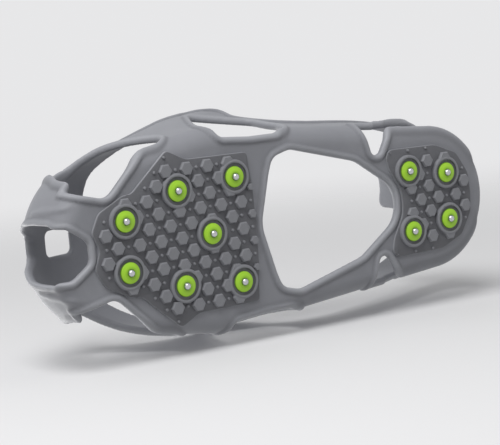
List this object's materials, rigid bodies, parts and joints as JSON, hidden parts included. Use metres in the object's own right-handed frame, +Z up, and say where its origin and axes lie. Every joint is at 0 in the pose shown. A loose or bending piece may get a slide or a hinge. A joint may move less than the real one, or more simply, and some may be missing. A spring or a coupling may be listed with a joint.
{
  "type": "ice cleat",
  "caption": "Stretch-on ice cleat: an openwork rubber harness that grips a boot, with lugged tread pads and steel studs in coloured bases under forefoot and heel.",
  "frame": {"origin": "on the ground plane through the stud tips, under the middle of the cleat's length and width", "axes": "+X towards the toe, +Y towards the left side, +Z up from the studs to the foot"},
  "size_m": [0.299, 0.1306, 0.1009],
  "materials": {
    "harness": "matte moulded elastomer",
    "tread": "matte moulded elastomer",
    "stud_base": "satin lime plastic",
    "stud_pin": "polished hardened steel"
  },
  "bodies": {
    "forefoot": {"harness_forefoot": "harness", "harness_waist_left": "harness", "harness_waist_right": "harness", "forefoot_tread": "tread", "stud_base_1": "stud_base", "stud_base_2": "stud_base", "stud_base_3": "stud_base", "stud_base_4": "stud_base", "stud_base_5": "stud_base", "stud_base_6": "stud_base", "stud_base_7": "stud_base", "stud_pin_1": "stud_pin", "stud_pin_2": "stud_pin", "stud_pin_3": "stud_pin", "stud_pin_4": "stud_pin", "stud_pin_5": "stud_pin", "stud_pin_6": "stud_pin", "stud_pin_7": "stud_pin"},
    "heel": {"harness_heel": "harness", "heel_tread": "tread", "stud_base_8": "stud_base", "stud_base_9": "stud_base", "stud_base_10": "stud_base", "stud_base_11": "stud_base", "stud_pin_8": "stud_pin", "stud_pin_9": "stud_pin", "stud_pin_10": "stud_pin", "stud_pin_11": "stud_pin"}
  },
  "joints": [
    {"name": "waist_flex", "type": "hinge", "parent": "forefoot", "child": "heel", "pos_m": [-0.005, 0, 0.0074], "axis": [0, 1, 0], "range_deg": [-10, 30], "stiffness_Nm_per_rad": 1, "deforming": ["harness_waist_left", "harness_waist_right"]}
  ]
}
